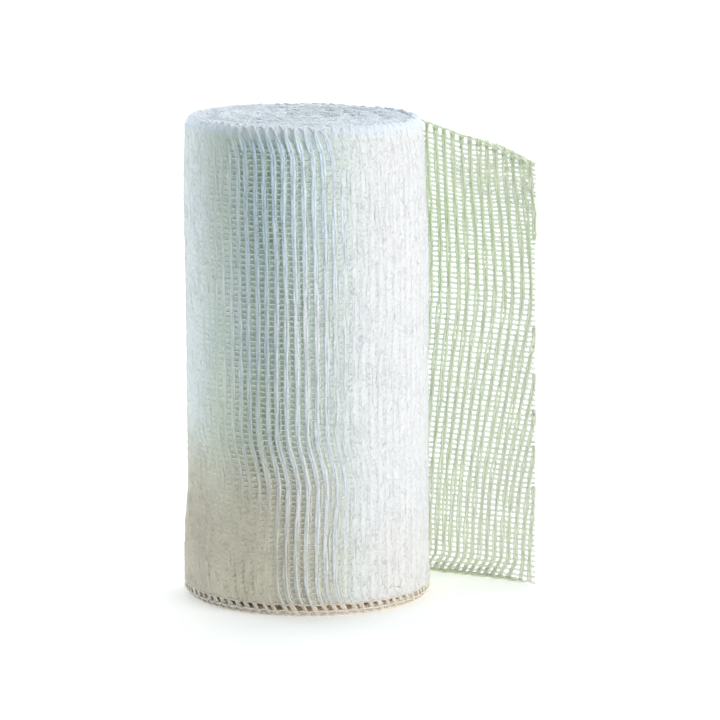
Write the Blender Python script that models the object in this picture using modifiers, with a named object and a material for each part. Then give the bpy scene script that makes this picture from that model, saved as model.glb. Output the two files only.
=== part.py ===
"""Gauze bandage roll standing on end, with its loose end drawn off to one side.

Metres, +Z up. The origin is the middle of the base. +Z runs up the winding, -Y faces the viewer,
and +X points to the side where the loose end leaves the roll.
"""
import math
from collections import namedtuple

import bmesh
import bpy
from mathutils import Vector
from mathutils.geometry import interpolate_bezier

MM = 0.001

# Driving dimensions
BANDAGE_WIDTH = 100 * MM
RIB_COUNT = 78
RIB_RISE = 0.22 * MM
COLUMNS_PER_RIB = 3
CLOTH_THICKNESS = 1.0 * MM
CLEARANCE = 0.3 * MM

# The outer turn drops by one cloth and one clearance where the loose end leaves it.
TURN_STEP = CLOTH_THICKNESS + CLEARANCE
LEAVING_ANGLE = math.radians(68)
STEP_FACE_ANGLE = math.radians(0.4)
STEP_DEPTH_SHARE = 0.2
CALM_ANGLE = math.radians(10)

# The two rims, and the turns that show on the top
TOP_RIM_RADIUS = 2.0 * MM
BASE_RIM_RADIUS = 1.6 * MM
RIM_STEPS = 3
TURN_PITCH = 5.6 * MM
TURN_RISE = 0.6 * MM
TOP_SAG = 0.5 * MM
EVEN_RIM_SHARE = 0.17
HEART_RADIUS = 3.0 * MM
HEART_DEPTH = 2.5 * MM
HEART_OFFSET = Vector((-0.8 * MM, 5.0 * MM))

# The roll's outline: it bulges a little at the foot and leans a little to -X under the top.
Ring = namedtuple("Ring", "height radius lean")
RINGS = [
    Ring(98.0 * MM, 25.0 * MM, -0.80 * MM),
    Ring(93.0 * MM, 25.3 * MM, -0.65 * MM),
    Ring(83.0 * MM, 25.6 * MM, -0.55 * MM),
    Ring(72.0 * MM, 25.8 * MM, -0.15 * MM),
    Ring(55.0 * MM, 25.7 * MM, 0.00 * MM),
    Ring(36.0 * MM, 25.7 * MM, 0.15 * MM),
    Ring(22.0 * MM, 25.7 * MM, 0.25 * MM),
    Ring(16.0 * MM, 26.0 * MM, 0.00 * MM),
    Ring(9.0 * MM, 26.2 * MM, -0.05 * MM),
    Ring(1.6 * MM, 26.3 * MM, 0.05 * MM),
]

# The loose end, seen from above: it leaves the roll as a tangent and keeps a little of its bend.
CUT_END = Vector((47.9 * MM, 3.7 * MM, 0))
CUT_END_ANGLE = math.radians(-33)
COURSE_REACH = 12.0 * MM
COURSE_STEPS = 48
CUT_END_LEAN = 1.1 * MM
LOOSE_RIB_COUNT = 20
SHEET_ROWS = 9
CURL_ROWS = 5
CURL_RADIUS = 1.0 * MM
THIN_SHARE = 0.62
FLUSH_SHARE = 0.4

# Its ribs bow towards the cut end, most at the crest, and back again by a part above it.
RIB_BOW = 4.0 * MM
BOW_CREST = 0.62
BOW_RETURN = 0.4
BOW_MIDDLE = 0.6

# The loose end's upper edge sinks towards the cut end, where its corner turns over behind.
Edge = namedtuple("Edge", "share height turned_over")
UPPER_EDGE = [
    Edge(0.00, 99.4 * MM, 1.0 * MM),
    Edge(0.20, 98.8 * MM, 1.0 * MM),
    Edge(0.35, 97.5 * MM, 1.0 * MM),
    Edge(0.60, 94.8 * MM, 1.0 * MM),
    Edge(0.72, 93.7 * MM, 2.0 * MM),
    Edge(0.86, 91.7 * MM, 5.0 * MM),
    Edge(1.00, 89.3 * MM, 7.0 * MM),
]

ROLL_COLOUR = (0.80, 0.83, 0.84, 1)
LOOSE_END_COLOUR = (0.62, 0.70, 0.52, 1)
GAUZE_ROUGHNESS = 0.95


def clear_scene():
    for thing in list(bpy.data.objects):
        bpy.data.objects.remove(thing, do_unlink=True)


def gauze_material(name, colour):
    material = bpy.data.materials.new(name)
    material.use_nodes = True
    shader = material.node_tree.nodes["Principled BSDF"]
    shader.inputs["Base Color"].default_value = colour
    shader.inputs["Roughness"].default_value = GAUZE_ROUGHNESS
    shader.inputs["Metallic"].default_value = 0
    return material


def between(rows, at, key, value):
    """Value of a table's named column, read between its rows."""
    rows = sorted(rows, key=lambda row: getattr(row, key))
    if at <= getattr(rows[0], key):
        return getattr(rows[0], value)
    for low, high in zip(rows, rows[1:]):
        if at <= getattr(high, key):
            share = (at - getattr(low, key)) / (getattr(high, key) - getattr(low, key))
            return getattr(low, value) + share * (getattr(high, value) - getattr(low, value))
    return getattr(rows[-1], value)


def ring_radius(height):
    return between(RINGS, height, "height", "radius")


def smooth_step(value):
    value = min(max(value, 0), 1)
    return value * value * (3 - 2 * value)


# The roll


def rim_arc(centre_radius, centre_height, rim_radius, start, end):
    """Quarter round from one angle to another, without its first and last points."""
    for step in range(1, RIM_STEPS):
        angle = math.radians(start + (end - start) * step / RIM_STEPS)
        yield centre_radius + rim_radius * math.cos(angle), centre_height + rim_radius * math.sin(angle)


def roll_profile():
    """Radius and height from the middle of the top, over the rim, down to the middle of the base."""
    top_edge = RINGS[0].radius - TOP_RIM_RADIUS
    base_edge = RINGS[-1].radius - BASE_RIM_RADIUS
    ring_gap = TURN_PITCH / 2
    inner_rings = round((top_edge - HEART_RADIUS) / ring_gap)
    yield 0, BANDAGE_WIDTH
    yield HEART_RADIUS / 2, BANDAGE_WIDTH
    for ring in range(inner_rings + 1):
        yield HEART_RADIUS + (top_edge - HEART_RADIUS) * ring / inner_rings, BANDAGE_WIDTH
    yield from rim_arc(top_edge, BANDAGE_WIDTH - TOP_RIM_RADIUS, TOP_RIM_RADIUS, 90, 0)
    for ring in RINGS:
        yield ring.radius, ring.height
    yield from rim_arc(base_edge, BASE_RIM_RADIUS, BASE_RIM_RADIUS, 0, -90)
    yield base_edge, 0
    yield 0, 0


def turn_share(angle):
    """How far round the outer turn an angle lies, from 0 where the loose end leaves to 1."""
    return ((angle - LEAVING_ANGLE) / math.tau) % 1


def rib_strength(angle, height):
    """Ribs fade into the two rims and lie flat under the loose end and where it leaves."""
    before_step = (LEAVING_ANGLE - angle) % math.tau
    after_step = math.tau - before_step
    calm = smooth_step(before_step / CALM_ANGLE - 1) * smooth_step(4 * after_step / CALM_ANGLE)
    low = smooth_step(height / (2 * BASE_RIM_RADIUS))
    high = smooth_step((BANDAGE_WIDTH - height) / (2 * TOP_RIM_RADIUS))
    return calm * low * high


def wound_top(radius, angle):
    """Height of the top face: raised turns, a slight sag and the hollow heart of the winding."""
    outward = radius / ring_radius(BANDAGE_WIDTH)
    turns = math.cos(math.tau * (radius - HEART_RADIUS) / TURN_PITCH + angle)
    even = smooth_step((1 - outward) / EVEN_RIM_SHARE)
    heart = 1 - smooth_step(radius / HEART_RADIUS)
    sag = TOP_SAG * (1 - outward * outward)
    return BANDAGE_WIDTH - sag + even * TURN_RISE * (turns - 1) * (1 - heart) - HEART_DEPTH * heart


def wind(point):
    """Moves a point of the plain turned shape to where the wound gauze has it."""
    radius = math.hypot(point.x, point.y)
    angle = math.atan2(point.y, point.x) % math.tau
    height = point.z
    outward = radius / ring_radius(height)
    column_angle = math.tau / (RIB_COUNT * COLUMNS_PER_RIB)
    before_step = (LEAVING_ANGLE - angle) % math.tau
    share = turn_share(angle)
    if before_step < column_angle:
        angle = LEAVING_ANGLE - STEP_FACE_ANGLE
        share = 1
    on_top = height > BANDAGE_WIDTH - CLEARANCE and outward < 1
    if on_top:
        height = wound_top(radius, angle)
    else:
        radius += RIB_RISE * math.cos(RIB_COUNT * angle) * rib_strength(angle, height)
    radius -= TURN_STEP * share * smooth_step((outward - 1) / STEP_DEPTH_SHARE + 1)
    lean = between(RINGS, point.z, "height", "lean")
    centre = Vector((lean, 0))
    if on_top:
        centre += HEART_OFFSET * (1 - outward)
    return Vector((centre.x + radius * math.cos(angle), centre.y + radius * math.sin(angle), height))


def build_roll(collection, material):
    profile = bpy.data.meshes.new("roll_profile")
    points = [(radius, 0, height) for radius, height in roll_profile()]
    profile.from_pydata(points, [(i, i + 1) for i in range(len(points) - 1)], [])
    turned = bpy.data.objects.new("turned_roll", profile)
    collection.objects.link(turned)
    screw = turned.modifiers.new("turn", "SCREW")
    screw.steps = RIB_COUNT * COLUMNS_PER_RIB
    screw.render_steps = screw.steps
    screw.use_merge_vertices = True
    screw.merge_threshold = 0.01 * MM
    evaluated = turned.evaluated_get(bpy.context.evaluated_depsgraph_get())
    mesh = bpy.data.meshes.new_from_object(evaluated)
    bpy.data.objects.remove(turned)
    mesh.name = "bandage_roll"
    for vertex in mesh.vertices:
        vertex.co = wind(vertex.co)
    mesh.materials.append(material)
    mesh.shade_smooth()
    mesh.set_sharp_from_angle(angle=math.radians(50))
    collection.objects.link(bpy.data.objects.new("bandage_roll", mesh))


# The loose end


def roll_surface(angle, height, depth):
    """Plan point on the roll's outer turn, a given depth under its surface."""
    radius = ring_radius(height) - depth
    lean = between(RINGS, height, "height", "lean")
    return Vector((lean + radius * math.cos(angle), radius * math.sin(angle), 0))


def loose_end_course():
    """Points of the loose end's middle line as seen from above, and the angle where it starts."""
    start_angle = LEAVING_ANGLE - STEP_FACE_ANGLE - 2 * CLEARANCE / ring_radius(0)
    start = roll_surface(start_angle, BANDAGE_WIDTH / 2, CLOTH_THICKNESS / 2)
    leave = Vector((math.sin(start_angle), -math.cos(start_angle), 0)) * COURSE_REACH
    arrive = Vector((math.cos(CUT_END_ANGLE), math.sin(CUT_END_ANGLE), 0)) * COURSE_REACH
    return interpolate_bezier(start, start + leave, CUT_END - arrive, CUT_END, COURSE_STEPS), start_angle


def at_share(course, share):
    """Point at a share of the course's length."""
    lengths = [0]
    for here, there in zip(course, course[1:]):
        lengths.append(lengths[-1] + (there - here).length)
    wanted = min(max(share, 0), 1) * lengths[-1]
    index = next(i for i in range(1, len(lengths)) if lengths[i] >= wanted or i == len(lengths) - 1)
    here, there = course[index - 1], course[index]
    part = (wanted - lengths[index - 1]) / (lengths[index] - lengths[index - 1])
    return here.lerp(there, part)


def curl(run, height):
    """Height and backward reach at a run up the cloth, which turns over behind at the top."""
    straight = height - CURL_RADIUS
    if run <= straight:
        return run, 0
    turn = (run - straight) / CURL_RADIUS
    if turn <= math.pi:
        return straight + CURL_RADIUS * math.sin(turn), CURL_RADIUS * (1 - math.cos(turn))
    return straight - (run - straight - math.pi * CURL_RADIUS), 2 * CURL_RADIUS


def rib_bow(up):
    """Shift of a rib towards the cut end at a share of the cloth's width."""
    rise = smooth_step(up / BOW_CREST)
    fall = BOW_RETURN * smooth_step((up - BOW_CREST) / (1 - BOW_CREST))
    return RIB_BOW * (rise - fall - BOW_MIDDLE)


def loose_end_point(course, start_angle, along, row):
    """Place of a grid point of the cloth, from its share along the course and its row up the width."""
    height = between(UPPER_EDGE, along, "share", "height")
    turned_over = between(UPPER_EDGE, along, "share", "turned_over")
    straight = height - CURL_RADIUS
    if row <= SHEET_ROWS:
        run = straight * row / SHEET_ROWS
    else:
        run = straight + turned_over * (row - SHEET_ROWS) / CURL_ROWS
    up, back = curl(run, height)
    length = sum((there - here).length for here, there in zip(course, course[1:]))
    bow = rib_bow(up / BANDAGE_WIDTH) * math.sin(math.pi * along)
    share = along + (bow - CUT_END_LEAN * along * up / BANDAGE_WIDTH) / length
    point = at_share(course, share)
    flush = roll_surface(start_angle, up, 0) - roll_surface(start_angle, BANDAGE_WIDTH / 2, 0)
    point = point + flush * (1 - smooth_step(share / FLUSH_SHARE))
    return Vector((point.x, point.y + back, up))


def build_loose_end(collection, material):
    course, start_angle = loose_end_course()
    columns = LOOSE_RIB_COUNT * COLUMNS_PER_RIB
    rows = SHEET_ROWS + CURL_ROWS
    grid = bmesh.new()
    bmesh.ops.create_grid(grid, x_segments=columns, y_segments=rows, size=0.5)
    places = [(round((v.co.x + 0.5) * columns), round((v.co.y + 0.5) * rows)) for v in grid.verts]
    for vertex, (column, row) in zip(grid.verts, places):
        vertex.co = loose_end_point(course, start_angle, column / columns, row)
    mesh = bpy.data.meshes.new("loose_end")
    grid.to_mesh(mesh)
    grid.free()
    mesh.materials.append(material)
    mesh.shade_smooth()
    sheet = bpy.data.objects.new("loose_end", mesh)
    collection.objects.link(sheet)
    ribs = sheet.vertex_groups.new(name="ribs")
    ribs.add([i for i, (column, row) in enumerate(places) if column % COLUMNS_PER_RIB == 1], 1, "REPLACE")
    solidify = sheet.modifiers.new("cloth", "SOLIDIFY")
    solidify.thickness = CLOTH_THICKNESS
    solidify.offset = 0
    solidify.vertex_group = "ribs"
    solidify.thickness_vertex_group = THIN_SHARE


def main():
    clear_scene()
    collection = bpy.data.collections.new("gauze_bandage_roll")
    bpy.context.scene.collection.children.link(collection)
    build_roll(collection, gauze_material("white_gauze", ROLL_COLOUR))
    build_loose_end(collection, gauze_material("sheer_gauze", LOOSE_END_COLOUR))


main()
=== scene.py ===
"""Gauze bandage roll standing on end on a pale floor: every yarn of the wound and of the loose gauze.

Metres, +Z up, in the frame of the CAD model. -Y faces the camera.
"""

import math

import bpy
import numpy as np
from mathutils import Matrix, Vector


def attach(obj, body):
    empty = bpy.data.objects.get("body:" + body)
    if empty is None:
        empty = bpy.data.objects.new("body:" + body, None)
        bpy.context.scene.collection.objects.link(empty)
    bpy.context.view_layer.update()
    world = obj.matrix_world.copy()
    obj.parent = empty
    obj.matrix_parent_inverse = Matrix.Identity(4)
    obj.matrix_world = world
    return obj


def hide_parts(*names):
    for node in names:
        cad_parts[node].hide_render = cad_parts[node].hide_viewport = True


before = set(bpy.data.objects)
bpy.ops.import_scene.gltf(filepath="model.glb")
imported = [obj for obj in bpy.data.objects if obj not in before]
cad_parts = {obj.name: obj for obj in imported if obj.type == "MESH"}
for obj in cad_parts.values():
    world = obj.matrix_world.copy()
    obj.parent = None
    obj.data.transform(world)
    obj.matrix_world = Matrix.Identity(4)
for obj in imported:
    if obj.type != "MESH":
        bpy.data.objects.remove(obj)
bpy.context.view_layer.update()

MM = 0.001
TAU = math.tau
FRONT = math.radians(270)
ACROSS, BACK, UP = np.eye(3)
rng = np.random.default_rng(11)

# The roll, as in the CAD model. The loose end leaves the outer turn at the angle LEAVING.
WIDTH = 100 * MM
RIBS = 78
CLOTH = 1.0 * MM
CLEARANCE = 0.3 * MM
TURN_STEP = 1.3 * MM
LEAVING = math.radians(68)
STEP_FACE = math.radians(0.4)
TOP_RIM = 2.0 * MM
BASE_RIM = 1.6 * MM
RING_HEIGHT = np.array([1.6, 9, 16, 22, 36, 55, 72, 83, 93, 98]) * MM
RING_RADIUS = np.array([26.3, 26.2, 26.0, 25.7, 25.7, 25.7, 25.8, 25.6, 25.3, 25.0]) * MM
RING_LEAN = np.array([0.05, -0.05, 0, 0.25, 0.15, 0, -0.15, -0.55, -0.65, -0.80]) * MM

# Its top: raised turns inside an even rim, and a hollow heart off the middle
TOP_SAG = 0.5 * MM
TURN_PITCH = 5.6 * MM
TURN_RISE = 0.6 * MM
EVEN_RIM_SHARE = 0.17
HEART_RADIUS = 3.0 * MM
HEART_DEPTH = 2.5 * MM
HEART_OFFSET = np.array([-0.8, 5.0]) * MM
CENTRED_SHARE = 0.93

# The weave. Columns are counted in ribs from the leaving angle. STRAND and THREAD are radii.
FIRST_RIB = 0.5
ROWS = 88
ROW_PITCH = 1.118 * MM
FIRST_ROW = 0.45 * MM
STRAND = 0.31 * MM
STRAND_APART = 0.21 * MM
STRAND_ROLL = 0.4
THREAD = 0.15 * MM
PRESSED = 0.6

# Waves along a yarn: of its drift across the cloth, of its drift in and out, and of its lumps
RIB_WAVES = (0.8, 2.2)
DEPTH_WAVES = (3, 7)
LUMP_WAVES = (9, 23)


# Numbers


def smooth(value):
    """Smooth step from 0 to 1."""
    value = np.clip(value, 0, 1)
    return value * value * (3 - 2 * value)


def ramp(value, none, full):
    """Rises smoothly from 0 where the value is none to 1 where it is full."""
    return smooth((value - none) / (full - none))


def arch(swing, fullness):
    """From 1 in the middle of an arch to 0 at its feet, where swing is -1 and 1."""
    return np.sqrt(1 - np.abs(swing) ** fullness)


def unit(vectors):
    """Vectors of length 1."""
    return vectors / np.maximum(np.linalg.norm(vectors, axis=-1, keepdims=True), 1e-12)


def wander(yarns, points, waves, size):
    """Smooth drift of each yarn along its length."""
    along = np.linspace(0, 1, points)
    drift = np.zeros((yarns, points))
    for wave in waves:
        speed = wave * rng.uniform(0.7, 1.3, (yarns, 1))
        drift += np.sin(TAU * speed * along + rng.uniform(0, TAU, (yarns, 1)))
    return size * drift / math.sqrt(len(waves))


# Yarns


class Yarns:
    """Round yarns gathered into one mesh."""

    def __init__(self):
        self.points, self.faces, self.used = [], [], 0

    def add(self, paths, radius, sides, out, flat=1.0):
        """Adds yarns along paths[yarn, point], flattened along out, the way that faces out of the cloth."""
        yarns, points, _ = paths.shape
        along = unit(np.gradient(paths, axis=1))
        side = unit(np.cross(along, np.broadcast_to(out, paths.shape)))
        up = flat * np.cross(side, along)
        turn = TAU * np.arange(sides)[:, None] / sides
        size = np.broadcast_to(radius, (yarns, points))[..., None, None]
        ring = paths[:, :, None] + size * (np.cos(turn) * side[:, :, None] + np.sin(turn) * up[:, :, None])
        index = self.used + np.arange(yarns * points * sides).reshape(yarns, points, sides)
        after = np.roll(index, -1, axis=2)
        quads = np.stack([index[:, :-1], index[:, 1:], after[:, 1:], after[:, :-1]], -1)
        self.points.append(ring.reshape(-1, 3))
        self.faces += [quads.reshape(-1, 4), index[:, 0], index[:, -1, ::-1]]
        self.used += index.size

    def wrap(self, points):
        """Adds a surface over points[ring, column], closed round each ring, with flat ends."""
        rings, columns, _ = points.shape
        index = self.used + np.arange(rings * columns).reshape(rings, columns)
        after = np.roll(index, -1, axis=1)
        quads = np.stack([index[:-1], after[:-1], after[1:], index[1:]], -1)
        self.points.append(points.reshape(-1, 3))
        self.faces += [quads.reshape(-1, 4), index[:1, ::-1], index[-1:]]
        self.used += index.size

    def build(self, name, material, *hidden):
        """Makes the piece, which rides the roll and stands for the hidden nodes of the model."""
        mesh = bpy.data.meshes.new(name)
        points = np.concatenate(self.points)
        loops = np.concatenate([f.ravel() for f in self.faces])
        sizes = np.concatenate([np.full(len(f), f.shape[1]) for f in self.faces])
        mesh.vertices.add(len(points))
        mesh.vertices.foreach_set("co", points.ravel().astype(np.float32))
        mesh.loops.add(len(loops))
        mesh.loops.foreach_set("vertex_index", loops.astype(np.int32))
        mesh.polygons.add(len(sizes))
        mesh.polygons.foreach_set("loop_start", (np.cumsum(sizes) - sizes).astype(np.int32))
        mesh.polygons.foreach_set("use_smooth", np.ones(len(sizes), bool))
        mesh.update(calc_edges=True)
        mesh.materials.append(material)
        piece = bpy.data.objects.new(name, mesh)
        bpy.context.scene.collection.objects.link(piece)
        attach(piece, "root")
        if hidden:
            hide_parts(*hidden)
        return piece


def twisted(path, out, apart):
    """The two strands of each rib, which roll a little about its middle line, and the way each faces."""
    yarns, points, _ = path.shape
    across = np.cross(UP, out)
    twist = wander(yarns, points, (2, 5, 11), 0.8)
    apart = apart * (1 + wander(yarns, points, (3, 8), 0.3))
    swing = (apart * np.cos(twist))[..., None] * across
    depth = (STRAND_ROLL * apart * np.sin(twist))[..., None] * out
    return np.concatenate([path + swing + depth, path - swing - depth]), np.concatenate([out, out])


def hairs(net, start, one_way, other_way, out, thick=1.0):
    """Adds short fibres that lie every way in the plane of the cloth, tipped a little out of it."""
    count = len(start)
    lie = rng.uniform(0, TAU, (count, 1))
    ahead = np.cos(lie) * one_way + np.sin(lie) * other_way + rng.normal(0, 0.22, (count, 1)) * out
    reach = rng.uniform(0.4, 1.1, (count, 1)) * MM * unit(ahead)
    radius = thick * rng.uniform(0.022, 0.04, (count, 1)) * MM
    facing = np.broadcast_to(out, start.shape)[:, None]
    net.add(np.stack([start - reach, start + reach], 1), radius, 3, facing)


# The roll's outer turns

# Drift of the ribs round the roll, in ribs: they lean left at the top and right at the foot. It fades over
# the last DRIFT_FADE ribs on either side of the leaving angle.
DRIFT_HEIGHT = np.array([0, 1, 2.5, 4, 7, 12, 20, 27, 31, 35, 38, 60, 90, 94, 96.5, 98.5, 100]) * MM
DRIFT = np.array(
    [2.35, 2.05, 1.6, 1.25, 1.02, 0.96, 1.0, 1.08, 0.72, 0.17, 0, 0, 0, -0.08, -0.35, -0.8, -1.1]
)
DRIFT_FADE = 8

# How open the weave lies in each place. Angles are taken from the front and are less than 0 on the left.
OPEN_PRESSED, OPEN_BACK, OPEN_BAND = 0.03, 0.37, 0.87
BAND_ANGLE = math.radians(-16)
BAND_SPREAD = (math.radians(20), math.radians(23))
BACK_ANGLE = (math.radians(100), math.radians(130))
LEFT_ANGLE = (math.radians(1), math.radians(-23))
LOW_HEIGHT = (37 * MM, 17 * MM)
RIM_HEIGHT = (93 * MM, 97 * MM)
LOW_LEFT_CLOSES, RIM_CLOSES = 0.95, 0.45

# Patch of small holes low on the left
PIN_HOLE_ANGLE, PIN_HOLE_ANGLE_SPREAD = -0.53, 0.17
PIN_HOLE_HEIGHT, PIN_HOLE_HEIGHT_SPREAD = 7 * MM, 5 * MM

# Threads round the foot: height and radius
FOOT_THREADS = ((0.30 * MM, 0.25 * MM), (1.17 * MM, 0.18 * MM), (2.5 * MM, 0.17 * MM))


def rim_drop(height):
    """How far the surface draws in where it rounds over the two rims."""
    top = np.clip(height - (WIDTH - TOP_RIM), 0, TOP_RIM)
    base = np.clip(BASE_RIM - height, 0, BASE_RIM)
    return TOP_RIM - np.sqrt(TOP_RIM**2 - top**2) + BASE_RIM - np.sqrt(BASE_RIM**2 - base**2)


def outward(turns):
    """The way out of the roll, from the turns since the loose end leaves."""
    angle = LEAVING + TAU * turns
    return np.stack([np.cos(angle), np.sin(angle), 0 * angle], -1)


def wound(turns, height, out):
    """Point of the wound gauze, from the turns since the loose end leaves, its height and offset."""
    radius = np.interp(height, RING_HEIGHT, RING_RADIUS) - rim_drop(height) - TURN_STEP * turns + out
    points = outward(turns) * radius[..., None]
    points[..., 0] += np.interp(height, RING_HEIGHT, RING_LEAN)
    points[..., 2] = height
    return points


def from_front(turns):
    """Angle round the roll from its front, less than 0 on the left."""
    return (LEAVING + TAU * turns - FRONT + math.pi) % TAU - math.pi


def openness(turns, height):
    """How open the weave lies, from 0 where the turns are pressed together to 1.

    It is open in a band left of the front, less open behind, and closes low on the left and at the rim.
    """
    angle = from_front(turns)
    aside = angle - BAND_ANGLE
    band = np.exp(-((aside / np.where(aside < 0, *BAND_SPREAD)) ** 2))
    back = ramp(np.abs(angle), *BACK_ANGLE)
    low_left = ramp(height, *LOW_HEIGHT) * ramp(angle, *LEFT_ANGLE) * (1 - back)
    rim = ramp(height, *RIM_HEIGHT)
    around = OPEN_PRESSED + OPEN_BACK * back + OPEN_BAND * band * (1 - back)
    return around * (1 - LOW_LEFT_CLOSES * low_left) * (1 - RIM_CLOSES * rim)


def closed(turns, height, share):
    """From 1 where the weave is pressed together to 0 where its openness is this share."""
    return ramp(openness(turns, height), share, 0)


def pin_holes(turns, height):
    """Strength of the patch of small holes, from 0 to 1."""
    aside = (from_front(turns) - PIN_HOLE_ANGLE) / PIN_HOLE_ANGLE_SPREAD
    above = (height - PIN_HOLE_HEIGHT) / PIN_HOLE_HEIGHT_SPREAD
    return np.exp(-(aside**2) - above**2)


def drifted(columns, height, ribs):
    """Rib columns moved by the drift, which fades where the loose end leaves."""
    fade = ramp(np.minimum(columns, ribs - columns), 0, DRIFT_FADE)
    return columns + fade * np.interp(height, DRIFT_HEIGHT, DRIFT)


def between_ribs(columns, first):
    """From 0 on a rib to 1 midway between two."""
    return 0.5 - 0.5 * np.cos(TAU * (columns - first))


def outer_ribs(material):
    """The ribs of the outer turn, which sink in a little where the weave is pressed."""
    net = Yarns()
    points = 84
    height = np.broadcast_to(np.linspace(0.4 * MM, 97.2 * MM, points), (RIBS, points))
    columns = np.arange(RIBS)[:, None] + FIRST_RIB + wander(RIBS, points, RIB_WAVES, 0.07)
    turns = drifted(columns, height, RIBS) / RIBS
    sink = 0.07 * MM * closed(turns, height, 0.5)
    path = wound(turns, height, wander(RIBS, points, DEPTH_WAVES, 0.05 * MM) - sink)
    strands, facing = twisted(path, outward(turns), STRAND_APART)
    thick = STRAND * (1 + wander(2 * RIBS, points, LUMP_WAVES, 0.12))
    net.add(strands, thick, 6, facing, PRESSED)
    return net.build("outer_ribs", material)


def outer_rows(material):
    """The thin threads across the ribs, which pass under them and show in the gaps."""
    net = Yarns()
    per_rib = 4
    under, lift = -0.10 * MM, 0.12 * MM
    rows = np.arange(2, ROWS - 2)
    columns = np.arange(RIBS * per_rib + 1) / per_rib
    gap = between_ribs(columns, FIRST_RIB)
    size = (rows.size, columns.size)
    height = FIRST_ROW + ROW_PITCH * rows[:, None] + wander(*size, (9, 31, 80), 0.10 * MM)
    turns = drifted(np.broadcast_to(columns, size), height, RIBS) / RIBS
    stray = 0.10 * MM * rng.uniform(0, 1, size) * closed(turns, height, 0.625)
    out = under + (lift + stray) * gap + rng.normal(0, 0.03 * MM, size)
    thick = THREAD * (0.85 + 0.25 * gap * rng.uniform(0.3, 1.3, size))
    net.add(wound(turns, height, out), thick, 3, -UP)
    return net.build("outer_rows", material)


def rim_arches(net, depth):
    """Arches that join neighbouring ribs over the rim, and sink in where the weave is pressed."""
    arches, points = RIBS - 1, 13
    foot, rise = 95.0 * MM, 4.95 * MM
    half_width, squareness = 0.68, 0.8
    middle = np.arange(arches)[:, None] + 1.0
    swing = np.linspace(-1, 1, points)
    height = foot + rise * rng.uniform(0.88, 1.0, middle.shape) * arch(swing, 2.4)
    columns = middle + half_width * np.sign(swing) * np.abs(swing) ** squareness
    turns = drifted(columns, height, RIBS) / RIBS
    sink = 0.30 * MM * closed(turns, np.full_like(height, 90 * MM), 0.5)
    out = depth + 0.05 * MM - sink + wander(arches, points, (0.6,), 0.10 * MM)
    thick = 0.29 * MM * (1 + wander(arches, points, (2, 5), 0.10))
    net.add(wound(turns, height, out), thick, 5, outward(turns))


def rims(material):
    """Two layers of arches over the upper rim, and the threads round the foot."""
    net = Yarns()
    for depth in (0, -0.35 * MM):
        rim_arches(net, depth)
    points = RIBS * 6
    turns = np.linspace(0.001, 0.999, points)[None]
    for level, radius in FOOT_THREADS:
        height = level + wander(1, points, (60, 90), 0.10 * MM)
        thick = radius * (1 + wander(1, points, (50, 130), 0.2))
        net.add(wound(turns, height, 0.1 * MM), thick, 5, UP)
    return net.build("rims", material)


def fuzz(material):
    """Loose fibres that stand off the outer turn and veil its gaps."""
    net = Yarns()
    count = 18500
    turns = rng.uniform(0.002, 0.998, count)
    height = rng.uniform(2.5 * MM, 98.5 * MM, count)
    start = wound(turns, height, rng.uniform(-0.1, 0.3, count) * MM)
    out = outward(turns)
    hairs(net, start, np.cross(UP, out), UP, out)
    return net.build("fuzz", material)


def second_turn(material):
    """The ribs of the next turn, set off from the outer ones so that they show in the gaps."""
    net = Yarns()
    ribs, points = 75, 46
    set_off = 0.517
    height = np.broadcast_to(np.linspace(3.0 * MM, 98.3 * MM, points), (ribs, points))
    columns = np.arange(ribs)[:, None] + FIRST_RIB + set_off + wander(ribs, points, RIB_WAVES, 0.07)
    turns = 1 + drifted(columns, height, ribs) / ribs
    path = wound(turns, height, (1.27 - 0.3 * openness(turns, height)) * MM)
    strands, facing = twisted(path, outward(turns), 0.28 * MM)
    net.add(strands, 0.32 * MM, 4, facing, PRESSED)
    return net.build("second_turn", material)


# The top, the underside and the body under the turns

# Course of the inner turns from the rim to the heart: angle round the roll, radius and length run
SPIRAL_START = RING_RADIUS[-1] - 1.5 * MM
SPIRAL = np.linspace(0, TAU * (SPIRAL_START - HEART_RADIUS) / TURN_STEP, 4000)
SPIRAL_RADIUS = SPIRAL_START - TURN_STEP * SPIRAL / TAU
SPIRAL_STEPS = 0.5 * (SPIRAL_RADIUS[1:] + SPIRAL_RADIUS[:-1]) * np.diff(SPIRAL)
SPIRAL_RUN = np.concatenate([[0], np.cumsum(SPIRAL_STEPS)])

# The body's columns, and how many it has to a rib and rings to a row
BODY_PER_RIB, BODY_PER_ROW = 4, 2
BODY_COLUMNS = np.arange(RIBS * BODY_PER_RIB) / BODY_PER_RIB
BODY_ANGLE = LEAVING + TAU * BODY_COLUMNS / RIBS
BODY_FLAT = 0 * BODY_COLUMNS


def top_height(radius, angle):
    """Height of the wound end, with its sag, raised turns and hollow heart."""
    share = radius / RING_RADIUS[-1]
    turns = np.cos(TAU * (radius - HEART_RADIUS) / TURN_PITCH + angle) - 1
    heart = ramp(radius, HEART_RADIUS, 0)
    raised = TURN_RISE * turns * ramp(share, 1, 1 - EVEN_RIM_SHARE) * (1 - heart)
    return WIDTH - TOP_SAG * (1 - share**2) + raised - HEART_DEPTH * heart


def end_place(radius, angle, height):
    """Point over a wound end, whose turns close in on the heart."""
    inside = np.clip(1 - radius / RING_RADIUS[-1] / CENTRED_SHARE, 0, 1)
    x = RING_LEAN[-1] + HEART_OFFSET[0] * inside + radius * np.cos(angle)
    y = HEART_OFFSET[1] * inside + radius * np.sin(angle)
    return np.stack([x, y, height], -1)


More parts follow.
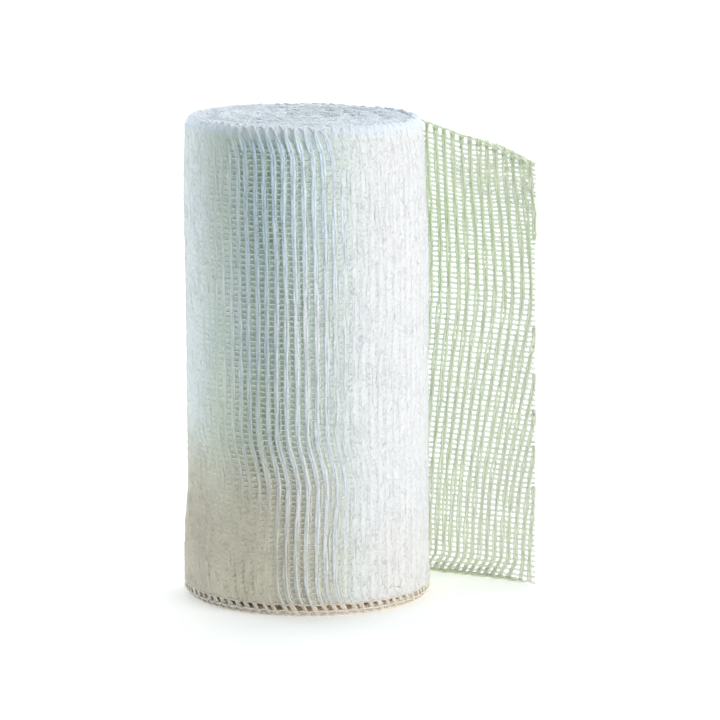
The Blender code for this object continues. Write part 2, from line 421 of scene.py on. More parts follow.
def base_rings():
    """The underside, and the recess round the foot behind its threads."""
    turns = BODY_COLUMNS / RIBS
    rings = [end_place(radius * MM, BODY_ANGLE, 0.6 * MM + BODY_FLAT) for radius in (1.0, 21.5)]
    for height, out in ((0.9, -3.6), (2.35, -3.4), (2.42, 0.13)):
        rings.append(wound(turns, height * MM + BODY_FLAT, out * MM))
    return rings


def wall_rings():
    """The side, with a hollow at each opening of the weave, deeper where the weave is open."""
    rings = []
    gap = between_ribs(BODY_COLUMNS, FIRST_RIB)
    for ring in range(2 * BODY_PER_ROW, ROWS * BODY_PER_ROW + 1):
        height = FIRST_ROW + ROW_PITCH * ring / BODY_PER_ROW + BODY_FLAT
        turns = drifted(BODY_COLUMNS, height, RIBS) / RIBS
        open_here = openness(turns, height)
        hollow = gap**2 * (0.02 + 0.35 * open_here) + gap**4 * 0.5 * pin_holes(turns, height)
        between_rows = ring % BODY_PER_ROW
        rings.append(wound(turns, height, (0.17 - 0.6 * open_here - between_rows * hollow) * MM))
    return rings


def top_rings():
    """The upper rim and the wound end, a little under the edges of its turns."""
    turns = drifted(BODY_COLUMNS, WIDTH + BODY_FLAT, RIBS) / RIBS
    rings = [wound(turns, height * MM + BODY_FLAT, 0.05 * MM) for height in (99.3, 99.6, 99.75)]
    closing_in = 1 - TURN_STEP / RING_RADIUS[-1] * BODY_COLUMNS / RIBS
    for start in np.linspace(23.6, 1.0, 42) * MM:
        radius = start * closing_in
        ripple = 0.05 * MM * np.cos(TAU * radius / TURN_STEP + BODY_ANGLE)
        rings.append(end_place(radius, BODY_ANGLE, top_height(radius, BODY_ANGLE) - 0.10 * MM + ripple))
    return rings


def body(material):
    """The pressed turns under the two outer ones."""
    net = Yarns()
    net.wrap(np.array(base_rings() + wall_rings() + top_rings()))
    return net.build("body", material, "bandage_roll")


def spiral(run):
    """Angle and radius of the inner turns, from the run along them."""
    return np.interp(run, SPIRAL_RUN, SPIRAL) + LEAVING, np.interp(run, SPIRAL_RUN, SPIRAL_RADIUS)


def end_level(radius, angle, top):
    """Height from which the edges of the inner turns are measured, on top or underneath."""
    return top_height(radius, angle) if top else 0 * radius


def end_arches(net, top, pitch, layer, points, foot, rise):
    """Arches along the edges of the inner turns, a pitch apart, which rise from their foot."""
    middle = pitch * (np.arange(int(SPIRAL_RUN[-1] / pitch))[:, None] + 0.5 + layer)
    swing = np.linspace(-1, 1, points)
    size = (len(middle), points)
    angle, radius = spiral(middle + (0.5 * pitch * swing + rng.normal(0, 0.15 * MM, size)))
    aside = rng.normal(0, 0.26 * MM, middle.shape) - layer * 0.9 * MM + rng.normal(0, 0.14 * MM, size)
    radius = radius + aside
    share = arch(swing, 2) * rng.uniform(0.7, 1.15, middle.shape)
    height = end_level(radius, angle, top) + foot + rise * share
    net.add(end_place(radius, angle, height), 0.26 * MM, 4, UP)


def end_thread(net, top, pitch, lift):
    """A fine thread along the edges of the inner turns."""
    run = np.linspace(0, SPIRAL_RUN[-1], 3 * int(SPIRAL_RUN[-1] / pitch))[None]
    angle, radius = spiral(run)
    radius = radius + wander(1, run.size, (40, 170), 0.12 * MM)
    net.add(end_place(radius, angle, end_level(radius, angle, top) + lift), 0.24 * MM, 4, UP)


def top_fibres(net):
    """Loose fibres that lie over the top, spread evenly over its area."""
    count = 8000
    inner, outer = 1.9 * MM, RING_RADIUS[-1] - 2.2 * MM
    radius = np.sqrt(rng.uniform(inner**2, outer**2, count))
    angle = rng.uniform(0, TAU, count)
    start = end_place(radius, angle, top_height(radius, angle) + rng.uniform(-0.2, 0.15, count) * MM)
    hairs(net, start, ACROSS, BACK, UP, 1.2)


def wound_top(material):
    """The upper edges of the inner turns: two layers of arches, a fine thread and loose fibres."""
    net = Yarns()
    pitch = 2.05 * MM
    for layer in (0, 0.5):
        end_arches(net, True, pitch, layer, 7, -0.32 * MM, 0.18 * MM)
    end_thread(net, True, pitch, -0.5 * MM)
    top_fibres(net)
    return net.build("wound_top", material)


def wound_base(material):
    """The lower edges of the inner turns: hanging arches and a fine thread."""
    net = Yarns()
    pitch = 3.4 * MM
    end_arches(net, False, pitch, 0, 5, 1.1 * MM, -0.75 * MM)
    end_thread(net, False, pitch, 0.7 * MM)
    return net.build("wound_base", material)


# The loose end

# Its course seen from above, as in the CAD model, and the lean of its cut end
CUT_END = Vector((47.9 * MM, 3.7 * MM))
CUT_END_ANGLE = math.radians(-33)
COURSE_REACH = 12 * MM
CUT_END_LEAN = 1.1 * MM

# Its upper edge along the course: its height, how much cloth is turned over behind, and the fold's radius
CURL_RADIUS = 1.0 * MM
EDGE_SHARE = np.array([0, 0.20, 0.35, 0.60, 0.72, 0.86, 1])
EDGE_HEIGHT = np.array([99.4, 98.8, 97.5, 94.8, 93.7, 91.7, 89.3]) * MM
EDGE_OVER = np.array([1, 1, 1, 1, 2, 5, 7]) * MM
SPARE_FROM = 66 * MM

# Its ribs, which crowd together towards the foot: the crowding by height, then the same smoothed
LOOSE_RIBS = 26
LOOSE_PITCH = 2.17 * MM
LOOSE_PHASE = 0.2
CROWD_HEIGHT = np.array([0, 9, 22, 39, 60, 73, 91, 100]) * MM
CROWD = 1 - 0.216 * np.array([1, 1, 0.88, 0.48, 0, 0.08, 0.28, 0.34])
SOFT = np.hanning(21)[1:-1] / np.hanning(21).sum()
FINE_HEIGHT = np.arange(0, 101) * MM
FINE_CROWD = np.convolve(np.pad(np.interp(FINE_HEIGHT, CROWD_HEIGHT, CROWD), 9, "edge"), SOFT, "valid")

# Threads along its foot: height, share of the course they run and radius
LOOSE_FOOT_THREADS = ((0.32 * MM, 0.93, 0.30 * MM), (0.8 * MM, 0.90, 0.26 * MM))


def loose_course():
    """Points of the curve from the roll's tangent to the cut end, and the angle where it leaves."""
    start_angle = LEAVING - STEP_FACE - 2 * CLEARANCE / RING_RADIUS[0]
    start = wound(np.array(0.0), np.array(WIDTH / 2), -CLOTH / 2)
    radius = math.hypot(start[0], start[1])
    start = Vector((radius * math.cos(start_angle), radius * math.sin(start_angle)))
    leave = Vector((math.sin(start_angle), -math.cos(start_angle))) * COURSE_REACH
    arrive = Vector((math.cos(CUT_END_ANGLE), math.sin(CUT_END_ANGLE))) * COURSE_REACH
    t = np.linspace(0, 1, 49)[:, None]
    handles = [np.array(p) for p in (start, start + leave, CUT_END - arrive, CUT_END)]
    weights = ((1 - t) ** 3, 3 * t * (1 - t) ** 2, 3 * t**2 * (1 - t), t**3)
    return sum(w * p for w, p in zip(weights, handles)), start_angle


COURSE, COURSE_ANGLE = loose_course()
COURSE_RUN = np.concatenate([[0], np.cumsum(np.linalg.norm(np.diff(COURSE, axis=0), axis=1))])
COURSE_LENGTH = COURSE_RUN[-1]
COURSE_AHEAD = unit(np.gradient(COURSE, axis=0))


def loose_edge(run):
    """How far the loose end stands straight, and how much of it is turned over behind that."""
    share = run / COURSE_LENGTH
    straight = np.interp(share, EDGE_SHARE, EDGE_HEIGHT) - CURL_RADIUS
    return straight, np.interp(share, EDGE_SHARE, EDGE_OVER)


def loose(run, up_run, out):
    """Point of the loose end and the way it faces there.

    They follow from the run off the roll, the run up the cloth and an offset to the front. The upper part
    takes up the width to spare where the upper edge sinks.
    """
    straight, over = loose_edge(run)
    spare = WIDTH - straight - over
    return loose_place(run, up_run - spare * ramp(up_run, SPARE_FROM, WIDTH), out)


def loose_place(run, up_run, out):
    """As loose, with the width to spare already taken up."""
    share = run / COURSE_LENGTH
    straight = loose_edge(run)[0]
    turn = np.clip((up_run - straight) / CURL_RADIUS, 0, math.pi)
    past = np.clip(up_run - straight - math.pi * CURL_RADIUS, 0, None)
    height = np.minimum(up_run, straight) + (CURL_RADIUS + out) * np.sin(turn) - past
    back = CURL_RADIUS * (1 - np.cos(turn))
    run = run - CUT_END_LEAN * share * height / WIDTH
    point = np.stack([np.interp(run, COURSE_RUN, COURSE[:, i]) for i in (0, 1)], -1)
    ahead = unit(np.stack([np.interp(run, COURSE_RUN, COURSE_AHEAD[:, i]) for i in (0, 1)], -1))
    front = np.stack([ahead[..., 1], -ahead[..., 0]], -1)
    flush = np.interp(height, RING_HEIGHT, RING_RADIUS) - np.interp(WIDTH / 2, RING_HEIGHT, RING_RADIUS)
    lean = np.interp(height, RING_HEIGHT, RING_LEAN)
    by_roll = ramp(share, 0.4, 0)
    point = point + (out * np.cos(turn))[..., None] * front
    point[..., 0] += by_roll * (lean + flush * math.cos(COURSE_ANGLE))
    point[..., 1] += by_roll * flush * math.sin(COURSE_ANGLE) + back
    return np.concatenate([point, height[..., None]], -1), np.concatenate([front, 0 * height[..., None]], -1)


def loose_run(column, up_run):
    """Run off the roll of a rib column. Near the foot all but the last ribs swing back to the roll."""
    last, swing = 24, 1.35
    swing = swing * ramp(up_run, 5 * MM, 0) * ramp(column, last, last - 2.5)
    return LOOSE_PITCH * ((column - swing) * np.interp(up_run, FINE_HEIGHT, FINE_CROWD))


def on_cloth(run):
    """Whether a yarn lies between the roll and the cut end."""
    return 0 < run.min() and run.max() < COURSE_LENGTH


def loose_rib(net, run, up_run):
    """Adds one stretch of a rib of the loose end."""
    path, front = loose(run, up_run, wander(1, run.size, DEPTH_WAVES, 0.04 * MM))
    strands, facing = twisted(path, front, 1.5 * STRAND_APART)
    thick = 1.04 * STRAND * (1 + wander(2, run.size, LUMP_WAVES, 0.10))
    net.add(strands, thick, 5, facing, PRESSED)


def loose_ribs(net):
    """The ribs of the loose end, each cut where it runs off the cloth."""
    points, fewest = 92, 4
    up_run = np.linspace(0.5 * MM, WIDTH - 0.6 * MM, points)
    for rib in range(LOOSE_RIBS):
        run = loose_run(rib + LOOSE_PHASE + wander(1, points, RIB_WAVES, 0.05), up_run)
        inside = (run > 0.2 * MM) & (run < COURSE_LENGTH + 0.15 * LOOSE_PITCH)
        run = np.minimum(run, COURSE_LENGTH - 0.35 * MM)
        ends = np.flatnonzero(np.diff(np.concatenate([[0], inside[0].astype(int), [0]])))
        for start, end in zip(ends[::2], ends[1::2]):
            if end - start >= fewest:
                loose_rib(net, run[:, start:end], up_run[None, start:end])


def foot_arches(net):
    """Hairpins that join the ribs of the loose end at its foot."""
    arches, top, tip = 20, 2.2 * MM, 0.45 * MM
    swing = np.linspace(-1, 1, 9)
    for rib in range(arches):
        height = top + (tip - top) * (arch(swing, 2.6) * rng.uniform(0.8, 1.0))
        run = loose_run(rib + LOOSE_PHASE + 0.5 + 0.5 * swing, height)
        if on_cloth(run):
            path, front = loose(run[None], height[None], 0 * run[None])
            net.add(path, 0.26 * MM, 5, front)


def foot_threads(net):
    """The threads along the foot of the loose end."""
    points = 160
    for height, reach, radius in LOOSE_FOOT_THREADS:
        run = np.linspace(0, COURSE_LENGTH * reach, points)[None]
        path = loose(run, height + wander(1, points, (9, 21), 0.09 * MM), 0 * run)[0]
        net.add(path, radius, 5, UP)


def crest_lift(run):
    """How far the top edge stands over the cloth, most beside the roll."""
    return 0.55 * MM * ramp(run / COURSE_LENGTH, 0.75, 0)


def crest_arches(net):
    """Small arches between the ribs over the loose end's top edge."""
    swing = np.linspace(-1, 1, 9)
    for rib in range(LOOSE_RIBS):
        rise = arch(swing, 2.6) * rng.uniform(0.85, 1.0)
        run = loose_run(rib + LOOSE_PHASE + 0.5 + 0.55 * swing, WIDTH + 0 * swing)
        if on_cloth(run):
            up_run = loose_edge(run)[0] + CURL_RADIUS * (1.3 * rise - 0.8)
            path, front = loose_place(run[None], up_run[None], 0.4 * MM * rise[None])
            path[..., 2] += crest_lift(run)
            net.add(path, 0.24 * MM, 5, front)


def crest_thread(net):
    """A fine thread that joins the arches over the top edge."""
    points = 120
    run = np.linspace(0, COURSE_LENGTH * 0.99, points)[None]
    up_run = loose_edge(run)[0] + CURL_RADIUS * (0.45 + wander(1, points, (9, 21), 0.08))
    path = loose_place(run, up_run, 0 * run)[0]
    path[..., 2] += crest_lift(run)
    net.add(path, 0.20 * MM, 5, UP)


def loose_net(material):
    """The ribs of the loose end, and the arches and threads along its foot and its top edge."""
    net = Yarns()
    loose_ribs(net)
    foot_arches(net)
    foot_threads(net)
    crest_arches(net)
    crest_thread(net)
    piece = net.build("loose_net", material, "loose_end")


def loose_rows(material):
    """The threads across the ribs of the loose end, which let more light through; their pale colour paints
    that light.
    """
    net = Yarns()
    per_rib, flatness = 4, 0.4
    columns = np.arange(LOOSE_RIBS * per_rib + 1) / per_rib
    gap = between_ribs(columns, LOOSE_PHASE)
    for row in range(ROWS):
        height = FIRST_ROW + ROW_PITCH * row + wander(1, columns.size, (4, 11, 24), 0.07 * MM)
        run = loose_run(columns[None], height)
        inside = (run[0] > 0) & (run[0] < COURSE_LENGTH + 0.3 * LOOSE_PITCH)
        run = np.minimum(run, COURSE_LENGTH - rng.uniform(0.05, 0.25) * MM)
        path, front = loose(run, height, (-0.05 + 0.07 * gap)[None] * MM)
        thick = 0.36 * MM * (1.15 - 0.25 * gap * rng.uniform(0.6, 1.2, columns.size))
        net.add(path[:, inside], thick[None, inside], 3, front[:, inside], flatness)
    net.build("loose_rows", material)


def veil(net):
    """Loose fibres across the openings of the loose end, one in seven of them in its upper corner."""
    count = 5000
    run = rng.uniform(0.5 * MM, COURSE_LENGTH - 0.8 * MM, (count, 1))
    up_run = rng.uniform(1 * MM, WIDTH - 2 * MM, (count, 1))
    corner = slice(count // 7)
    run[corner] = COURSE_LENGTH * (1 - 0.42 * rng.uniform(0, 1, run[corner].shape)) - 0.8 * MM
    up_run[corner] = loose_edge(run[corner])[0] - rng.uniform(-1, 8, run[corner].shape) * MM
    lie = rng.uniform(0, TAU, (count, 1))
    reach = rng.uniform(0.3, 0.75, (count, 1)) * MM * np.array([[-1, 1]])
    path, front = loose(run + reach * np.cos(lie), up_run + reach * np.sin(lie), 0 * reach)
    net.add(path, rng.uniform(0.035, 0.06, (count, 1)) * MM, 3, front)


def curled_fibres(net):
    """Curled fibres at the foot of the loose end, beside the roll."""
    count = 16
    curl = np.linspace(0, 2.4, 7) + rng.uniform(0, TAU, (count, 1))
    size = rng.uniform(0.5, 1.1, (count, 1)) * MM
    run = rng.uniform(1.0, 4.5, (count, 1)) * MM + size * np.cos(curl)
    up_run = rng.uniform(1.8, 7, (count, 1)) * MM + 1.4 * size * np.sin(curl)
    path, front = loose(run, up_run, 0.45 * MM + 0 * run)
    net.add(path, 0.13 * MM, 4, front)


def loose_fibres(material):
    """The fibres over the loose end."""
    net = Yarns()
    veil(net)
    curled_fibres(net)
    net.build("loose_fibres", material)


# Materials

# Tints of painted light and shade on the white gauze. The way in which they rise to the left. Those that do
# so fade out behind, over the mm of Y in TINT_FRONT.
TINT_SIDE = math.radians(200)
TINT_FRONT = (5, 0)

# Sockets of a Mix node that mixes colours
COLOUR_A, COLOUR_B, COLOUR_RESULT = 6, 7, 2

WEAVE_DEPTH = 0.07 * MM


class PaintedTone:
    """A tint of painted light or shade on the cloth.

    It has a colour and a way in which this is laid on. It rises from nothing to full over a span to the left
    and a span in height, both in mm. A span of None stands for everywhere.
    """

    def __init__(self, blend, colour, left=None, height=None):
        self.blend, self.colour = blend, colour
        self.left, self.height = left, height


# Painted light: bluish cool light on the upper left.
PAINTED_BLUISH_LIGHT_UPPER_LEFT = PaintedTone("MULTIPLY", (0.99, 1.06, 1.14), (-3, 6), (60, 80))
# Painted shade: darker blue-grey on the left flank, which turns away from the key light.
PAINTED_SHADE_LEFT_FLANK = PaintedTone("MIX", (0.64, 0.73, 0.78), (10, 17))
# Painted shade: grey-green in the openings left of the front.
PAINTED_GAP_SHADE_FRONT_LEFT = PaintedTone("MIX", (0.74, 0.85, 0.75), (-4, 12))
# Painted light: warm reflected light in the openings low on the left.
PAINTED_GAP_BOUNCE_BOTTOM_LEFT = PaintedTone("MIX", (0.80, 0.78, 0.68), (-2, 8), (40, 24))
# Painted light: pale green-grey light on the far left flank.
PAINTED_LEFT_FLANK_LIGHT = PaintedTone("MIX", (0.84, 0.91, 0.89), (18, 23))
# Painted shade: darker green in the openings on the far left flank.
PAINTED_LEFT_FLANK_GAP_SHADE = PaintedTone("MIX", (0.74, 0.83, 0.76), (18, 23))
# Painted light: warmer light on the lower left.
PAINTED_TAN_LIGHT_LEFT = PaintedTone("MULTIPLY", (1.0, 0.98, 0.91), (12, 18), (56, 40))
# Painted shadow: darker on the upper left, under the rim.
PAINTED_RIM_SHADOW_LEFT = PaintedTone("MULTIPLY", (0.93, 0.935, 0.925), (11, 18), (64, 80))
# Painted shade and light: warm beige, for shade lit by warm light reflected from below on the lower left.
PAINTED_TAN_BOUNCE_BOTTOM_LEFT = PaintedTone("MIX", (0.72, 0.67, 0.55), (3, 21), (42, 16))
# Painted light: pale cool rim light up the far left edge.
PAINTED_RIM_LIGHT_LEFT_EDGE = PaintedTone("MIX", (0.84, 0.89, 0.91), (23, 26), (21, 42))
# Painted shade: dark warm grey low on the far left edge.
PAINTED_SHADE_LEFT_EDGE_BOTTOM = PaintedTone("MIX", (0.58, 0.53, 0.44), (23, 26), (42, 21))
# Painted light: warmer, pinker tone on the right, where the key light falls.
PAINTED_KEY_LIGHT_TONE = PaintedTone("MULTIPLY", (0.985, 0.955, 0.96), (1, -8))
# Painted light: warmer low down, from the front to the right, for light reflected from below.
PAINTED_BOUNCE_FRONT_BOTTOM = PaintedTone("MULTIPLY", (1.01, 0.995, 0.965), (16, 4), (24, 12))
# Painted light: lighter at the foot on the left.
PAINTED_LIGHT_LEFT_FOOT = PaintedTone("MULTIPLY", (1.12, 1.12, 1.12), (10, 18), (14, 6))
# Painted light: bluish cool light from above on the upper rim.
PAINTED_BLUISH_TOP_LIGHT = PaintedTone("MIX", (0.80, 0.86, 0.93), height=(96.8, 99))
# Painted light: warm reflected light along the foot.
PAINTED_FOOT_BOUNCE = PaintedTone("MIX", (0.86, 0.80, 0.70), height=(5, 1.5))
# Painted shade: brown in the recess behind the foot threads, for shade and warm reflected light.
PAINTED_UMBER_SHADE_RECESS = PaintedTone("MIX", (0.62, 0.45, 0.27), height=(2.44, 2.4))
# Painted shade: near black in that recess, towards the left front.
PAINTED_DARK_SHADE_RECESS_LEFT = PaintedTone("MIX", (0.09, 0.065, 0.05), (4, 26), (2.44, 2.4))
# Painted shade: the loose end's sage turns even and paler towards its foot.
PAINTED_SAGE_FOOT = PaintedTone("MIX", (0.83, 0.88, 0.70), height=(45, 8))
# Painted shade: the loose end's sage turns greener and darker towards the top.
PAINTED_SAGE_UPPER = PaintedTone("MULTIPLY", (0.95, 0.985, 0.915), height=(54, 68))
# Lighter towards the top of the loose end, with less of its painted sage shade.
PAINTED_SAGE_PALER_TOP = PaintedTone("MULTIPLY", (1.08, 1.05, 1.08), height=(78, 86))
# Painted light and shade shared by the roll's materials, and those for the layers seen in its openings.
PAINTED_TONES_SHARED = [PAINTED_TAN_LIGHT_LEFT, PAINTED_RIM_SHADOW_LEFT, PAINTED_TAN_BOUNCE_BOTTOM_LEFT, PAINTED_RIM_LIGHT_LEFT_EDGE, PAINTED_SHADE_LEFT_EDGE_BOTTOM, PAINTED_KEY_LIGHT_TONE, PAINTED_BOUNCE_FRONT_BOTTOM, PAINTED_LIGHT_LEFT_FOOT]
PAINTED_TONES_OPENINGS = [PAINTED_GAP_SHADE_FRONT_LEFT, PAINTED_GAP_BOUNCE_BOTTOM_LEFT, PAINTED_LEFT_FLANK_GAP_SHADE, *PAINTED_TONES_SHARED]


def gauze(name, pale, deep, tints, sheen, weave_depth=0, scatter=0.25):
    """Cotton yarn: mottled colour with tints of painted light and shade, lumps, fine fibres along the yarns
    and a soft sheen.
    """
    material = bpy.data.materials.new(name)
    material.use_nodes = True
    tree = material.node_tree
    shader = tree.nodes["Principled BSDF"]
    shader.inputs["Metallic"].default_value = 0
    shader.inputs["Specular IOR Level"].default_value = 0.05
    shader.inputs["Sheen Weight"].default_value = sheen
    shader.inputs["Sheen Roughness"].default_value = 0.6
    shader.inputs["Subsurface Weight"].default_value = scatter
    shader.inputs["Subsurface Radius"].default_value = (1, 1, 1)
    shader.inputs["Subsurface Scale"].default_value = 0.8 * MM
    place = tree.nodes.new("ShaderNodeTexCoord").outputs["Object"]
    parts = tree.nodes.new("ShaderNodeSeparateXYZ")
    tree.links.new(place, parts.inputs["Vector"])
    tree.links.new(cotton_colour(tree, place, parts, pale, deep, tints), shader.inputs["Base Color"])
    fibre = noise(tree, place, 7000, 2, 0.25)
    tree.links.new(cotton_relief(tree, place, parts, fibre, weave_depth), shader.inputs["Normal"])
    rough = tree.nodes.new("ShaderNodeMapRange")
    rough.inputs["To Min"].default_value = 0.85
    rough.inputs["To Max"].default_value = 1.0
    tree.links.new(fibre, rough.inputs["Value"])
    tree.links.new(rough.outputs["Result"], shader.inputs["Roughness"])
    return material


def cotton_colour(tree, place, parts, pale, deep, tints):
    """Colour mottled between pale and deep, with the tints of painted light and shade laid on in turn."""
    left = tree.nodes.new("ShaderNodeVectorMath")
    left.operation = "DOT_PRODUCT"
    left.inputs[1].default_value = (math.cos(TINT_SIDE), math.sin(TINT_SIDE), 0)
    tree.links.new(place, left.inputs[0])
    mottled = tree.nodes.new("ShaderNodeValToRGB")
    for stop, position, colour in zip(mottled.color_ramp.elements, (0.3, 0.7), (deep, pale)):
        stop.position = position
        stop.color = (*colour, 1)
    tree.links.new(noise(tree, place, 1300, 4), mottled.inputs["Fac"])
    colour = mottled.outputs["Color"]
    for tint in tints:
        colour = tinted(tree, colour, tint, tint_share(tree, left.outputs["Value"], parts, tint))
    return colour


def cotton_relief(tree, place, parts, fibre, weave_depth):
    """Lumps of the yarn, the pressed weave where it has a depth, and the fibres over them."""
    lumps = noise(tree, place, 1900, 3, 0.8)
    relief = bumped(tree, lumps, 0.8, 0.3 * MM)
    if weave_depth:
        relief = bumped(tree, weave(tree, parts, lumps), 1.0, weave_depth, relief)
    return bumped(tree, fibre, 0.6, 0.08 * MM, relief)


def noise(tree, place, scale, detail, stretch=1):
    """Noise over the piece, drawn out along the upright yarns where stretch is under 1."""
    mapping = tree.nodes.new("ShaderNodeMapping")
    mapping.inputs["Scale"].default_value = (1, 1, stretch)
    tree.links.new(place, mapping.inputs["Vector"])
    texture = tree.nodes.new("ShaderNodeTexNoise")
    texture.inputs["Scale"].default_value = scale
    texture.inputs["Detail"].default_value = detail
    tree.links.new(mapping.outputs["Vector"], texture.inputs["Vector"])
    return texture.outputs["Fac"]


def maths(tree, operation, *values):
    """Output of a Math node over its values, which are numbers or outputs of other nodes."""
    node = tree.nodes.new("ShaderNodeMath")
    node.operation = operation
    for socket, value in zip(node.inputs, values):
        if isinstance(value, float):
            socket.default_value = value
        else:
            tree.links.new(value, socket)
    return node.outputs["Value"]


def wave(tree, value, pace, phase, moved):
    """Wave along a value, moved a little."""
    run = maths(tree, "MULTIPLY_ADD", value, pace, phase)
    return maths(tree, "COSINE", maths(tree, "ADD", run, moved))


def weave(tree, parts, wobble):
    """Height of the pressed weave: its ribs round the roll and its fainter rows up it."""
    row_share = 0.4
    moved = maths(tree, "MULTIPLY", wobble, 2.0)
    angle = maths(tree, "ARCTAN2", parts.outputs["Y"], parts.outputs["X"])
    ribs = wave(tree, angle, float(RIBS), math.pi - LEAVING * RIBS, moved)
    rows = wave(tree, parts.outputs["Z"], TAU / ROW_PITCH, -TAU * FIRST_ROW / ROW_PITCH, moved)
    return maths(tree, "MAXIMUM", ribs, maths(tree, "MULTIPLY", rows, row_share))


def bumped(tree, height, strength, distance, normal=None):
    """Normal of the surface with a height laid over it."""
    bump = tree.nodes.new("ShaderNodeBump")
    bump.inputs["Strength"].default_value = strength
    bump.inputs["Distance"].default_value = distance
    tree.links.new(height, bump.inputs["Height"])
    if normal:
        tree.links.new(normal, bump.inputs["Normal"])
    return bump.outputs["Normal"]


def tint_share(tree, left, parts, tint):
    """How strongly a tint of painted light or shade lies in each place. One that rises to the left stays on
    the front half.
    """
    front = TINT_FRONT if tint.left else None
    spans = ((left, tint.left), (parts.outputs["Z"], tint.height), (parts.outputs["Y"], front))
    shares = [ease(tree, value, *span) for value, span in spans if span]
    share = shares[0]
    for other in shares[1:]:
        share = maths(tree, "MULTIPLY", share, other)
    return share


def ease(tree, value, none, full):
    """Rises smoothly from 0 where the value is none mm to 1 where it is full mm."""
    rise = tree.nodes.new("ShaderNodeMapRange")
    rise.interpolation_type = "SMOOTHSTEP"
    rise.inputs["From Min"].default_value = none * MM
    rise.inputs["From Max"].default_value = full * MM
    tree.links.new(value, rise.inputs["Value"])
    return rise.outputs["Result"]


def tinted(tree, colour, tint, share):
    """Colour with a share of a tint of painted light or shade laid on."""
    mix = tree.nodes.new("ShaderNodeMix")
    mix.data_type = "RGBA"
    mix.blend_type = tint.blend
    tree.links.new(share, mix.inputs["Factor"])
    tree.links.new(colour, mix.inputs[COLOUR_A])
    mix.inputs[COLOUR_B].default_value = (*tint.colour, 1)
    return mix.outputs[COLOUR_RESULT]


def floor_material():
    """Pale floor that glows a little, so that it ends in white as in the photo."""
    material = bpy.data.materials.new("pale_floor")
    material.use_nodes = True
    shader = material.node_tree.nodes["Principled BSDF"]
    shader.inputs["Base Color"].default_value = (0.93, 0.93, 0.93, 1)
    shader.inputs["Roughness"].default_value = 0.9
    shader.inputs["Emission Color"].default_value = (1, 1, 1, 1)
    shader.inputs["Emission Strength"].default_value = 0.25
    return material


# The stage


def sweep():
    """Pale floor that curves up behind the roll."""
    radius, back, reach, tall = 0.5, 0.9, 2.5, 3.0
    turn = np.linspace(0, math.pi / 2, 13)
    line = [(-reach, 0)] + [(back + radius * math.sin(a), radius * (1 - math.cos(a))) for a in turn]
    line.append((back + radius, tall))
    points = [(x, y, z) for y, z in line for x in (-reach, reach)]
    faces = [(2 * i, 2 * i + 1, 2 * i + 3, 2 * i + 2) for i in range(len(line) - 1)]
    mesh = bpy.data.meshes.new("floor")
    mesh.from_pydata(points, [], faces)
    mesh.shade_smooth()
    mesh.materials.append(floor_material())
    floor = bpy.data.objects.new("floor", mesh)
    bpy.context.scene.collection.objects.link(floor)


def soft_light(name, place, target, size, power, colour):
    """Round area light that faces its target."""
    data = bpy.data.lights.new(name, "AREA")
    data.shape = "DISK"
    data.size = size
    data.energy = power
    data.color = colour
    light = bpy.data.objects.new(name, data)
    light.location = place
    light.rotation_euler = (Vector(target) - Vector(place)).to_track_quat("-Z", "Y").to_euler()
    bpy.context.scene.collection.objects.link(light)


def lights():
    """A warm key from the right, cooler lights from above and from behind, and one on the backdrop."""
    world = bpy.data.worlds.new("soft_room")
    world.use_nodes = True
    world.node_tree.nodes["Background"].inputs["Color"].default_value = (0.82, 1.0, 0.97, 1)
    world.node_tree.nodes["Background"].inputs["Strength"].default_value = 0.17
    bpy.context.scene.world = world
    middle, backdrop = (0.01, 0, 0.05), (0, 1.35, 0.3)
    soft_light("key", (0.75, -0.52, 0.44), middle, size=0.9, power=6.4, colour=(1.0, 0.972, 0.948))
    soft_light("top", (0.1, 0.2, 0.9), middle, size=0.5, power=3.1, colour=(0.86, 0.93, 1.0))
    soft_light("left_back", (-0.75, 0.45, 0.35), middle, size=0.6, power=3.5, colour=(0.92, 0.98, 1.0))
    soft_light("backdrop", (0.0, 0.5, 1.1), backdrop, size=0.9, power=7, colour=(1.0, 1.0, 1.0))


def camera():
    """The photo's camera, fitted to the outline of the roll."""
    yaw, pitch, roll = math.radians(0.814), math.radians(9.795), math.radians(0.222)
    ahead = Vector((math.sin(yaw) * math.cos(pitch), math.cos(yaw) * math.cos(pitch), -math.sin(pitch)))
    level = Vector((math.cos(yaw), -math.sin(yaw), 0))
    above = level.cross(ahead)
    right = math.cos(roll) * level + math.sin(roll) * above
    up = math.cos(roll) * above - math.sin(roll) * level
    data = bpy.data.cameras.new("camera")
    data.sensor_width = 36
    data.lens = 182.57
    data.clip_start = 0.01
    cam = bpy.data.objects.new("camera", data)
    cam.matrix_world = Matrix((right, up, -ahead)).transposed().to_4x4()
    cam.location = (0, -0.74913, 0.17805)
    bpy.context.scene.collection.objects.link(cam)
    bpy.context.scene.camera = cam


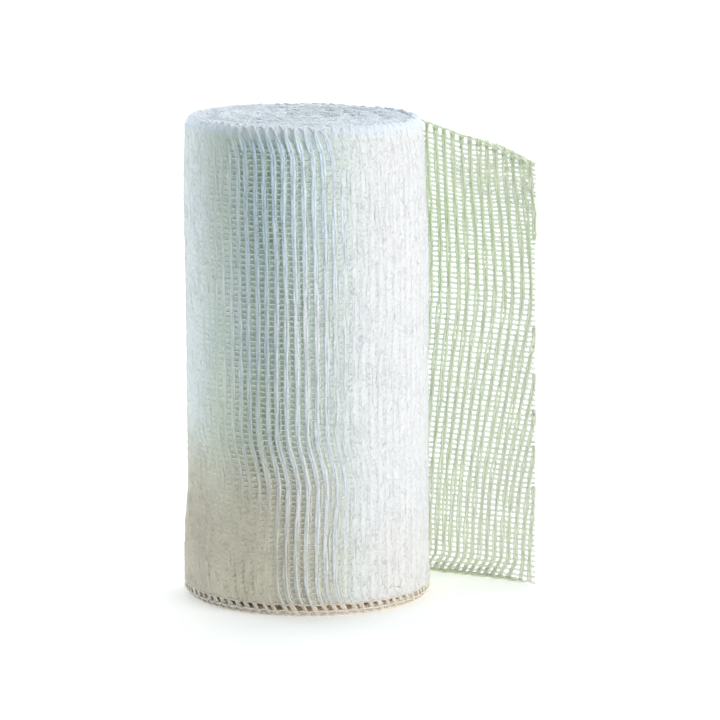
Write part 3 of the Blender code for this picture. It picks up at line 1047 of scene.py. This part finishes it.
def wound_part():
    """The roll itself, in white gauze."""
    # Each material of the roll takes its tints of painted light and shade.
    white_painted_tones = [PAINTED_SHADE_LEFT_FLANK, PAINTED_BLUISH_LIGHT_UPPER_LEFT, PAINTED_LEFT_FLANK_LIGHT, *PAINTED_TONES_SHARED, PAINTED_BLUISH_TOP_LIGHT, PAINTED_FOOT_BOUNCE]
    pressed_painted_tones = [*PAINTED_TONES_OPENINGS, PAINTED_BLUISH_TOP_LIGHT, PAINTED_UMBER_SHADE_RECESS, PAINTED_DARK_SHADE_RECESS_LEFT]
    white = gauze("white_cotton", (0.885, 0.915, 0.95), (0.745, 0.805, 0.86), white_painted_tones, 0.12)
    # Painted shade: the threads are grey-green, the shade of the openings they show in.
    thread = gauze("thread_cotton_painted_gap_shade", (0.82, 0.88, 0.84), (0.72, 0.79, 0.75), [PAINTED_LEFT_FLANK_LIGHT, *PAINTED_TONES_SHARED, PAINTED_BLUISH_TOP_LIGHT], 0.12)
    inner = gauze("inner_cotton", (0.86, 0.89, 0.90), (0.74, 0.79, 0.79), PAINTED_TONES_OPENINGS, 0.06)
    pressed = gauze(
        "pressed_cotton", (0.88, 0.905, 0.92), (0.815, 0.845, 0.855), pressed_painted_tones, 0.06, WEAVE_DEPTH
    )
    # Painted light: the wound ends are bluish, for cool light from above.
    end = gauze("end_cotton_painted_cool_light", (0.89, 0.93, 0.97), (0.83, 0.88, 0.93), [], 0.06, scatter=0.5)
    pieces = [outer_ribs(white), outer_rows(thread), rims(white), fuzz(white)]
    pieces += [second_turn(inner), body(pressed), wound_top(end), wound_base(white)]


def loose_part():
    """The loose end, in sheer white gauze with painted sage shade and light."""
    sheer_painted_tones, thin_painted_tones = [PAINTED_SAGE_FOOT, PAINTED_SAGE_UPPER, PAINTED_SAGE_PALER_TOP], [PAINTED_SAGE_UPPER, PAINTED_SAGE_PALER_TOP]
    # Painted shade: the ribs of the white loose end are sage green, for the greenish shade it lies in.
    sheer = gauze("sheer_cotton_painted_sage_shade", (0.82, 0.89, 0.70), (0.74, 0.82, 0.61), sheer_painted_tones, 0.09, scatter=0.5)
    # Painted light: its rows and fibres are pale yellow-green, for the light that comes through the gauze.
    thin = gauze("thin_cotton_painted_light", (0.96, 0.99, 0.86), (0.91, 0.96, 0.80), thin_painted_tones, 0.09, scatter=0.5)
    loose_net(sheer)
    loose_rows(thin)
    loose_fibres(thin)


def main():
    wound_part()
    loose_part()
    sweep()
    lights()
    camera()
    bpy.context.scene.view_settings.view_transform = "Standard"
    bpy.context.scene.cycles.max_bounces = 20
    bpy.context.scene.cycles.diffuse_bounces = 16


main()
